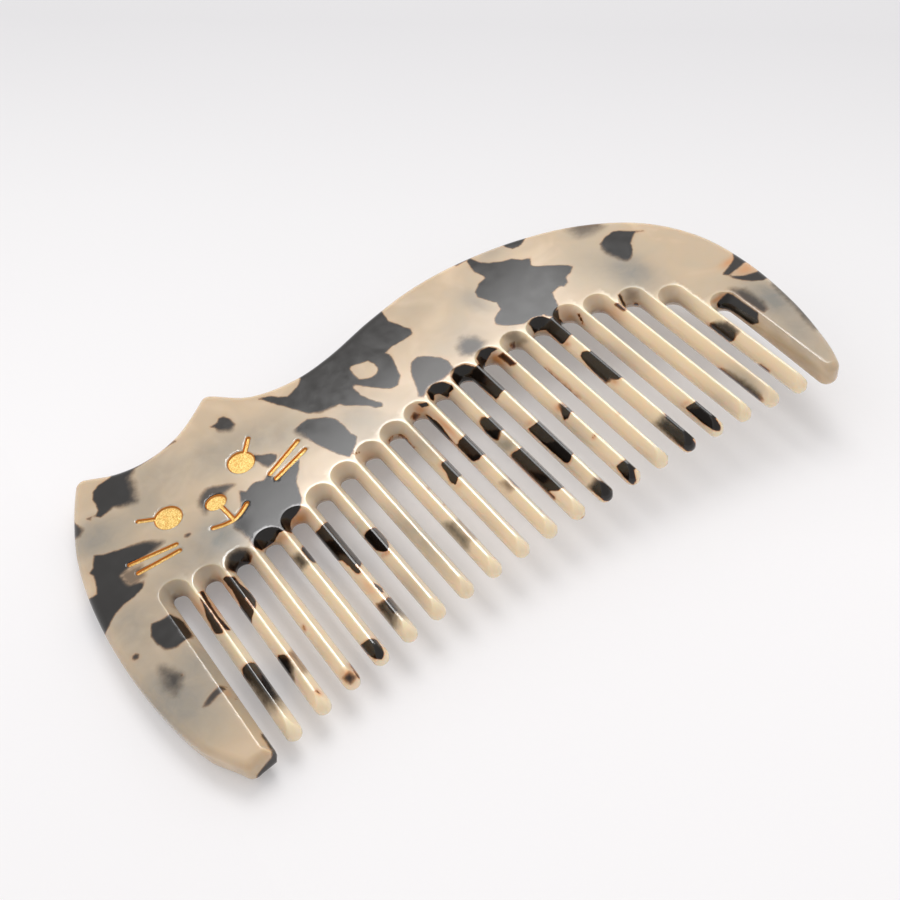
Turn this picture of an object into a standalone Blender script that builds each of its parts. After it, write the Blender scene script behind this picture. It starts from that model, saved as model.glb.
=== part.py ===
"""Hair comb cut from one sheet of cellulose acetate in the outline of a lying cat.

The comb lies on its back face: X runs along the comb from the head (-X) to the
tail (+X), Y points to the spine, the teeth point to -Y, and Z is up out of the
stamped face. Lengths here are millimetres until MM turns them into metres.

Pieces: one acetate sheet with 19 thin teeth between two wide end teeth, and seven
gold foil inlays that lie in stamped recesses and draw the cat's face.
"""
import math

import bmesh
import bpy
from mathutils import Vector
from mathutils.geometry import interpolate_bezier

MM = 0.001

# Sheet
THICKNESS = 4.6
EDGE_RADIUS = 1.4

# Teeth and slots, numbered from the head's wide end tooth to the tail's
PITCH = 5.2
SLOTS = 20
MIDDLE_TOOTH_X = 1.14
TOOTH_WIDTH = 2.45
TOOTH_SIDE_FLAT = 0.9
RIDGE_WIDTH = 0.24
FLANK_ROUNDING = 0.05
TIP_ROUNDING = 1.3
END_TOOTH_GAP = 0.95

# Tips of the thin teeth lie on a shallow arc
TIP_ARC_X = 2.0
TIP_ARC_Y = -25.6
TIP_ARC_RADIUS = 300.0

# Height of each slot's round end on the face
SLOT_ENDS = (3.4, 2.4, 2.0, 2.3, 3.1, 4.3, 5.5, 6.4, 7.3, 8.2,
             9.2, 9.9, 10.3, 10.4, 10.1, 9.4, 7.9, 5.1, 1.0, -5.9)
SLOT_END_STRETCH = 1.25

# Outline at half the thickness: rounded corners as (centre, radius, first and last
# direction of the outward normal in degrees), joined by smooth stretches
HEAD_TIP_INNER = ((-49.7, -29.2), 0.7, 0, -71)
HEAD_TIP_OUTER = ((-52.5, -28.6), 1.6, -71, -157)
LEFT_EAR = ((-50.5, 29.1), 1.6, 150, 64)
RIGHT_EAR = ((-26.5, 31.5), 1.6, 126, 49)
TAIL_TIP = ((53.3, -28.5), 1.75, -30, -180)
HEAD_SIDE = ((-56.9, -23.8), (-58.9, -15.0), (-59.8, -4.0), (-59.3, 7.0), (-57.6, 16.5),
             (-54.9, 23.9))
BETWEEN_EARS = ((-45.0, 28.1), (-39.8, 27.4), (-34.0, 28.7))
SPINE = ((-20.3, 28.0), (-13.2, 26.2), (-6.0, 26.8), (4.0, 29.3), (14.0, 30.8), (24.0, 30.4),
         (35.0, 28.0), (45.5, 23.4), (54.0, 16.3), (58.9, 7.2), (60.3, -3.5), (59.3, -15.0),
         (56.9, -24.5))

# Stamped face: foil inlays and the recesses that hold them
LINE_WIDTH = 0.66
EYE_RADIUS = 2.2
LEFT_EYE = (-42.75, 14.0)
LEFT_LASH = ((-44.3, 15.0), (-46.8, 16.5))
RIGHT_EYE = (-28.6, 16.05)
RIGHT_LASH = ((-27.1, 17.5), (-25.3, 19.6))
NOSE = (-35.55, 11.65)
NOSE_RADII = (1.7, 1.4)
LIP_LINE = ((-35.35, 11.3), (-34.95, 7.1))
SMILE = ((-38.2, 7.55), (-36.7, 7.05), (-35.0, 6.85), (-33.4, 7.35), (-31.9, 8.25))
WHISKERS = {
    "whisker_left_upper": ((-51.4, 9.95), (-44.1, 8.65)),
    "whisker_left_lower": ((-51.0, 7.7), (-44.2, 7.3)),
    "whisker_right_upper": ((-26.2, 10.9), (-19.4, 13.75)),
    "whisker_right_lower": ((-25.9, 9.45), (-19.4, 11.45)),
}
RECESS_DEPTH = 0.8
FOIL_THICKNESS = 0.2
GAP = 0.3

# Fineness of the facets
CURVE_STEPS = 4
CORNER_STEPS = 4
SLOT_END_STEPS = 6
TIP_STEPS = 4
EDGE_ANGLES = (0, 35, 62, 90)


def direction(degrees):
    """Unit vector at an angle from +X."""
    return Vector((math.cos(math.radians(degrees)), math.sin(math.radians(degrees))))


def tooth_x(number):
    """Middle line of a thin tooth; the end teeth are numbers 0 and SLOTS."""
    return MIDDLE_TOOTH_X + (number - SLOTS / 2) * PITCH


def tip_y(number):
    """Lowest point of a thin tooth."""
    return TIP_ARC_Y - (tooth_x(number) - TIP_ARC_X) ** 2 / (2 * TIP_ARC_RADIUS)


class Rim:
    """Closed loop of points at half the thickness, each with two inward moves.

    The flank move is how far the point shifts from there to the face on a tooth's
    sloping side, and the edge move is the same on a rounded outer edge.
    """

    def __init__(self):
        self.points = []
        self.flanks = []
        self.edges = []

    def add(self, point, flank=(0.0, 0.0), edge=(0.0, 0.0)):
        self.points.append(Vector(point))
        self.flanks.append(Vector(flank))
        self.edges.append(Vector(edge))

    def at(self, flank_share, edge_share):
        moved = zip(self.points, self.flanks, self.edges)
        return [point + flank * flank_share + edge * edge_share for point, flank, edge in moved]


def add_corner(rim, corner, slot_side=False):
    """Convex corner; both lines that meet in it move inwards by EDGE_RADIUS."""
    centre, radius, first, last = corner
    face_radius = max(radius - EDGE_RADIUS, 0.3)
    half_turn = math.radians(first - last) / 2
    middle = direction((first + last) / 2)
    shift = -middle * (EDGE_RADIUS - radius + face_radius) / math.cos(half_turn)
    for step in range(CORNER_STEPS + 1):
        share = step / CORNER_STEPS
        normal = direction(first + (last - first) * share)
        move = shift + normal * (face_radius - radius)
        flank = move * (1 - share) if slot_side else move * 0
        rim.add(Vector(centre) + normal * radius, flank, move - flank)


def corner_end(corner, last):
    """Point and clockwise heading where a corner begins or ends."""
    centre, radius, first_angle, last_angle = corner
    angle = last_angle if last else first_angle
    return Vector(centre) + direction(angle) * radius, direction(angle - 90)


def add_stretch(rim, before, knots, after):
    """Smooth curve from the end of one corner through the knots to the next corner."""
    start, start_heading = corner_end(before, last=True)
    end, end_heading = corner_end(after, last=False)
    points = [start] + [Vector(knot) for knot in knots] + [end]
    headings = [start_heading]
    for earlier, later in zip(points, points[2:]):
        headings.append((later - earlier).normalized())
    headings.append(end_heading)
    curve = []
    for index in range(len(points) - 1):
        reach = (points[index + 1] - points[index]).length / 3
        handle_out = points[index] + headings[index] * reach
        handle_in = points[index + 1] - headings[index + 1] * reach
        piece = interpolate_bezier(points[index], handle_out, handle_in, points[index + 1],
                                   CURVE_STEPS + 1)
        curve.extend(point.to_2d() for point in piece[:-1])
    curve.append(end)
    for index in range(1, len(curve) - 1):
        heading = (curve[index + 1] - curve[index - 1]).normalized()
        normal = Vector((-heading.y, heading.x))
        rim.add(curve[index], edge=-normal * EDGE_RADIUS)


def add_slot_end(rim, number):
    """Round end of a slot, from its tail side over the top to its head side."""
    middle_x = tooth_x(number) - PITCH / 2
    half_gap = (PITCH - TOOTH_WIDTH) / 2
    flank_width = (TOOTH_WIDTH - RIDGE_WIDTH) / 2
    tail_gap = END_TOOTH_GAP if number == SLOTS else half_gap
    head_gap = END_TOOTH_GAP if number == 1 else half_gap
    centre_y = SLOT_ENDS[number - 1] - SLOT_END_STRETCH * flank_width - half_gap
    for step in range(SLOT_END_STEPS + 1):
        side, up = direction(180 * step / SLOT_END_STEPS)
        gap = tail_gap if side > 0 else head_gap
        reach = half_gap + flank_width - gap
        point = (middle_x + gap * side, centre_y + half_gap * up)
        rim.add(point, flank=(reach * side, flank_width * (up + SLOT_END_STRETCH - 1)))


def add_tooth_tip(rim, number):
    """Rounded tip of a thin tooth, from its tail side to its head side."""
    half_width = TOOTH_WIDTH / 2
    inwards = RIDGE_WIDTH / 2 - half_width
    for step in range(TIP_STEPS + 1):
        side, up = direction(-180 * step / TIP_STEPS)
        point = (tooth_x(number) + half_width * side, tip_y(number) + half_width * (1 + up))
        rim.add(point, flank=(inwards * side, inwards * up), edge=(0, TIP_ROUNDING))


def comb_rim():
    """The whole rim, clockwise from the head's end tooth over the spine."""
    rim = Rim()
    add_corner(rim, HEAD_TIP_INNER, slot_side=True)
    add_corner(rim, HEAD_TIP_OUTER)
    add_stretch(rim, HEAD_TIP_OUTER, HEAD_SIDE, LEFT_EAR)
    add_corner(rim, LEFT_EAR)
    add_stretch(rim, LEFT_EAR, BETWEEN_EARS, RIGHT_EAR)
    add_corner(rim, RIGHT_EAR)
    add_stretch(rim, RIGHT_EAR, SPINE, TAIL_TIP)
    add_corner(rim, TAIL_TIP)
    for number in range(SLOTS, 0, -1):
        add_slot_end(rim, number)
        if number > 1:
            add_tooth_tip(rim, number - 1)
    return rim


def sheet_centre(rim):
    """Middle of the sheet's length and width."""
    across = [point.x for point in rim.points]
    up = [point.y for point in rim.points]
    return Vector(((min(across) + max(across)) / 2, (min(up) + max(up)) / 2))


def section_levels():
    """(height, flank share, edge share) of each layer of the sheet, bottom to top."""
    middle = THICKNESS / 2
    flat = TOOTH_SIDE_FLAT / 2
    upper = [(flat, 0.0, 0.0)]
    for angle in EDGE_ANGLES:
        turn = math.radians(angle)
        height = middle - EDGE_RADIUS * (1 - math.sin(turn))
        climb = (height - flat) / (middle - flat)
        curved = 1 - math.sqrt(max(0.0, 1 - climb ** 2))
        flank = (1 - FLANK_ROUNDING) * climb + FLANK_ROUNDING * curved
        upper.append((height, flank, 1 - math.cos(turn)))
    lower = [(-height, flank, edge) for height, flank, edge in reversed(upper)]
    return [(middle + height, flank, edge) for height, flank, edge in lower + upper]


def new_object(name, bm, material, origin):
    """Scene object from a mesh in millimetres, moved so that origin is at X = Y = 0."""
    bmesh.ops.translate(bm, vec=(-origin.x, -origin.y, 0), verts=bm.verts)
    bmesh.ops.scale(bm, vec=(MM, MM, MM), verts=bm.verts)
    bmesh.ops.recalc_face_normals(bm, faces=bm.faces)
    mesh = bpy.data.meshes.new(name)
    bm.to_mesh(mesh)
    bm.free()
    if material:
        mesh.materials.append(material)
    item = bpy.data.objects.new(name, mesh)
    bpy.context.scene.collection.objects.link(item)
    return item


def add_layers(bm, layers):
    """Closed body through loops of points that match one to one, bottom to top."""
    loops = []
    for points, height in layers:
        loops.append([bm.verts.new((point.x, point.y, height)) for point in points])
    for below, above in zip(loops, loops[1:]):
        for index, vert in enumerate(below):
            following = (index + 1) % len(below)
            bm.faces.new((vert, below[following], above[following], above[index]))
    bm.faces.new(loops[0][::-1])
    bm.faces.new(loops[-1])


def line_outline(ends, width):
    """Rectangle round a straight line of the given width."""
    start, end = Vector(ends[0]), Vector(ends[1])
    along = (end - start).normalized() * width / 2
    across = Vector((-along.y, along.x))
    return [start - along - across, end + along - across, end + along + across,
            start - along + across]


def oval_outline(centre, radii, steps=24):
    """Oval with its long axis along X."""
    outline = []
    for step in range(steps):
        side, up = direction(360 * step / steps)
        outline.append(Vector((centre[0] + radii[0] * side, centre[1] + radii[1] * up)))
    return outline


def ribbon_outline(points, width):
    """Band of the given width that follows a bent line."""
    route = [Vector(point) for point in points]
    left, right = [], []
    for index, point in enumerate(route):
        before = route[max(index - 1, 0)]
        after = route[min(index + 1, len(route) - 1)]
        across = (after - before).normalized() * width / 2
        across = Vector((-across.y, across.x))
        left.append(point + across)
        right.append(point - across)
    return right + left[::-1]


def face_marks(grow):
    """Outlines that make up each stamped mark, widened all round by grow."""
    width = LINE_WIDTH + 2 * grow
    eye = (EYE_RADIUS + grow, EYE_RADIUS + grow)
    nose = (NOSE_RADII[0] + grow, NOSE_RADII[1] + grow)
    marks = {
        "left_eye": [oval_outline(LEFT_EYE, eye), line_outline(LEFT_LASH, width)],
        "right_eye": [oval_outline(RIGHT_EYE, eye), line_outline(RIGHT_LASH, width)],
        "nose_mouth": [oval_outline(NOSE, nose), line_outline(LIP_LINE, width),
                       ribbon_outline(SMILE, width)],
    }
    for name, ends in WHISKERS.items():
        marks[name] = [line_outline(ends, width)]
    return marks


def mark_body(name, outlines, low, high, origin, material=None):
    """Solid between two heights; a mark's overlapping outlines are joined into one."""
    bodies = []
    for index, outline in enumerate(outlines):
        bm = bmesh.new()
        add_layers(bm, [(outline, low), (outline, high)])
        part_name = name if index == 0 else f"{name}_join_{index}"
        bodies.append(new_object(part_name, bm, material, origin))
    for other in bodies[1:]:
        join = bodies[0].modifiers.new(f"join_{other.name}", "BOOLEAN")
        join.operation = "UNION"
        join.object = other
        hide_cutter(other)
    return bodies[0]


def hide_cutter(item):
    """Keep a helper body out of the model."""
    item.hide_render = True
    item.display_type = "WIRE"


def plain_material(name, colour, roughness, metallic):
    """Principled material with one colour."""
    material = bpy.data.materials.new(name)
    material.use_nodes = True
    shader = material.node_tree.nodes["Principled BSDF"]
    shader.inputs["Base Color"].default_value = (*colour, 1.0)
    shader.inputs["Roughness"].default_value = roughness
    shader.inputs["Metallic"].default_value = metallic
    return material


def build():
    for item in list(bpy.data.objects):
        bpy.data.objects.remove(item)
    acetate = plain_material("acetate", (0.62, 0.50, 0.36), 0.18, 0.0)
    foil = plain_material("gold_foil", (0.95, 0.62, 0.22), 0.30, 1.0)

    rim = comb_rim()
    origin = sheet_centre(rim)
    bm = bmesh.new()
    add_layers(bm, [(rim.at(flank, edge), z) for z, flank, edge in section_levels()])
    comb_body = new_object("comb_body", bm, acetate, origin)

    recess_floor = THICKNESS - RECESS_DEPTH
    for name, outlines in face_marks(GAP).items():
        cutter = mark_body(f"{name}_recess", outlines, recess_floor, THICKNESS + 1, origin)
        hide_cutter(cutter)
        recess = comb_body.modifiers.new(f"recess_{name}", "BOOLEAN")
        recess.operation = "DIFFERENCE"
        recess.object = cutter

    foil_low = recess_floor + GAP
    for name, outlines in face_marks(0.0).items():
        mark_body(name, outlines, foil_low, foil_low + FOIL_THICKNESS, origin, foil)


build()
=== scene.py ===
"""Hair comb of marbled acetate in the outline of a lying cat, on a pale table.

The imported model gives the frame. This script replaces its sheet and its seven foil
inlays with finer meshes of the same shape, paints the marbling with flakes laid out
over the sheet, and adds the table, the light and the camera.

Lengths are millimetres in the sheet's own drawing until they are scaled by MM and
moved by the drawing's centre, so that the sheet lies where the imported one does.
"""
import math

import bpy
import numpy as np
from mathutils import Matrix, Vector, noise
from mathutils.geometry import delaunay_2d_cdt, interpolate_bezier
from mathutils.kdtree import KDTree


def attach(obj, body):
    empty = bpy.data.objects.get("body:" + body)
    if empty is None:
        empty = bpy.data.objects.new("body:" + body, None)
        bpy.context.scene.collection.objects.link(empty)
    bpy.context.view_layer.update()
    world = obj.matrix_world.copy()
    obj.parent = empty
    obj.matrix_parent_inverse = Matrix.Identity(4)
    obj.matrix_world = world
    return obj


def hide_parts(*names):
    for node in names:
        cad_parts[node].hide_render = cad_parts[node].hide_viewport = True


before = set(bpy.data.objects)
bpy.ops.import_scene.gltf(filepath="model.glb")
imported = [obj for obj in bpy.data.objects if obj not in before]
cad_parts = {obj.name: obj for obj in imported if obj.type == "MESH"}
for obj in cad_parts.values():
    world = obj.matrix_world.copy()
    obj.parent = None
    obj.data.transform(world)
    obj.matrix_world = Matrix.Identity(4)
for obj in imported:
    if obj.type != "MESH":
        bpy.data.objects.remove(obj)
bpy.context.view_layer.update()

MM = 0.001

# Sheet and teeth
THICKNESS = 4.6
EDGE_RADIUS = 1.4
LEAST_RADIUS = 0.3
PITCH = 5.2
SLOTS = 20
MIDDLE_TOOTH_X = 1.14
TOOTH_WIDTH = 2.45
TOOTH_SIDE_FLAT = 0.9
RIDGE_WIDTH = 0.24
FLANK_ROUNDING = 0.05
RIM_START = 0.96
TIP_ROUNDING = 1.3
END_TOOTH_GAP = 0.95
TIP_ARC_X = 2.0
TIP_ARC_Y = -25.6
TIP_ARC_RADIUS = 300.0
SLOT_ENDS = (3.4, 2.4, 2.0, 2.3, 3.1, 4.3, 5.5, 6.4, 7.3, 8.2,
             9.2, 9.9, 10.3, 10.4, 10.1, 9.4, 7.9, 5.1, 1.0, -5.9)
SLOT_END_STRETCH = 1.25

# Outline at half the thickness: corners as (centre, radius, first and last direction
# of the outward normal in degrees), joined by smooth stretches
HEAD_TIP_INNER = ((-49.7, -29.2), 0.7, 0, -71)
HEAD_TIP_OUTER = ((-52.5, -28.6), 1.6, -71, -157)
LEFT_EAR = ((-50.5, 29.1), 1.6, 150, 64)
RIGHT_EAR = ((-26.5, 31.5), 1.6, 126, 49)
TAIL_TIP = ((53.3, -28.5), 1.75, -30, -180)
HEAD_SIDE = ((-56.9, -23.8), (-58.9, -15.0), (-59.8, -4.0), (-59.3, 7.0), (-57.6, 16.5),
             (-54.9, 23.9))
BETWEEN_EARS = ((-45.0, 28.1), (-39.8, 27.4), (-34.0, 28.7))
SPINE = ((-20.3, 28.0), (-13.2, 26.2), (-6.0, 26.8), (4.0, 29.3), (14.0, 30.8), (24.0, 30.4),
         (35.0, 28.0), (45.5, 23.4), (54.0, 16.3), (58.9, 7.2), (60.3, -3.5), (59.3, -15.0),
         (56.9, -24.5))

# Stamped face: strokes and discs, each mark one foil inlay
STROKE = 0.33
EYE_RADIUS = 2.2
NOSE_RADII = (1.7, 1.4)
SMILE = ((-38.2, 7.55), (-36.7, 7.05), (-35.0, 6.85), (-33.4, 7.35), (-31.9, 8.25))
MARKS = {
    "left_eye": [("disc", (-42.75, 14.0), (EYE_RADIUS, EYE_RADIUS)),
                 ("stroke", ((-44.3, 15.0), (-46.8, 16.5)))],
    "right_eye": [("disc", (-28.6, 16.05), (EYE_RADIUS, EYE_RADIUS)),
                  ("stroke", ((-27.1, 17.5), (-25.3, 19.6)))],
    "nose_mouth": [("disc", (-35.55, 11.65), NOSE_RADII),
                   ("stroke", ((-35.35, 11.3), (-34.95, 7.1))),
                   ("stroke", SMILE)],
    "whisker_left_upper": [("stroke", ((-51.4, 9.95), (-44.1, 8.65)))],
    "whisker_left_lower": [("stroke", ((-51.0, 7.7), (-44.2, 7.3)))],
    "whisker_right_upper": [("stroke", ((-26.2, 10.9), (-19.4, 13.75)))],
    "whisker_right_lower": [("stroke", ((-25.9, 9.45), (-19.4, 11.45)))],
}
# How deep the recess and the foil's upper side lie, from outside a mark's edge inwards
RECESS_SHAPE = ((0.13, 0.0), (0.09, 0.05), (0.02, 0.26), (-0.06, 0.42))
FOIL_SHAPE = ((0.05, 0.05), (0.0, 0.14), (-0.06, 0.29), (-0.12, 0.34))
FOIL_THICKNESS = 0.04
# How far in from a foil's edge its painted edge shade fades
FOIL_RIM = 0.2
# Ripples of the foil's face: (height, ripples per millimetre, layer of the noise)
FOIL_RIPPLES = ((0.012, 2.6, 1.0), (0.006, 7.0, 4.0))
FOIL_FULL_RIPPLE_DEPTH = 0.3

# Fineness of the meshes
CURVE_STEPS = 14
CORNER_STEPS = 10
SLOT_END_STEPS = 16
TIP_STEPS = 12
DISC_STEPS = 48
SPECK_STEPS = 6
STROKE_STEPS = 4
STROKE_END_DEGREES = 30
STRAIGHT_STEP = 0.6
UPPER_ANGLES = (0, 9, 18, 27, 36, 45, 54, 63, 71, 75, 79, 83, 87, 90)
LOWER_ANGLES = (0, 20, 40, 60, 76, 90)
FACE_STEP = 0.45
BACK_STEP = 1.0
FOIL_STEP = 0.16
# How far a grid's points keep from an outline or a mark's edge
FACE_CLEARANCE = 0.3
BACK_CLEARANCE = 0.5
MARK_CLEARANCE = 0.2
FOIL_CLEARANCE = 0.04
# Keeps the rows of a grid from running exactly through points of the outline
ROW_SHIFT = 0.0137
# Points closer than this become one when a face is filled with triangles
MERGE_DISTANCE = 1e-5

# The table touches the comb at the head's side and falls away towards the tail
TABLE_TOUCH_X = -58.0
TABLE_GAP = 0.2
TABLE_FALL = 0.075

# Lamps (height in metres) and camera
LAMP_HEIGHT = 0.6
CAMERA_PLACE = (-56.898, -114.723, 152.760)
CAMERA_RIGHT = (0.80999, -0.57226, -0.12815)
CAMERA_AHEAD = (0.28415, 0.57414, -0.76787)

# How the flakes lean: every flake runs through the thickness along lines that meet in
# one far point above the face, close to where the camera stands, so that an outline on
# the face also says what the sides of the teeth show
LEAN_POINT = (-56.9, -114.7)
LEAN_HEIGHT = 148.0

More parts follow.
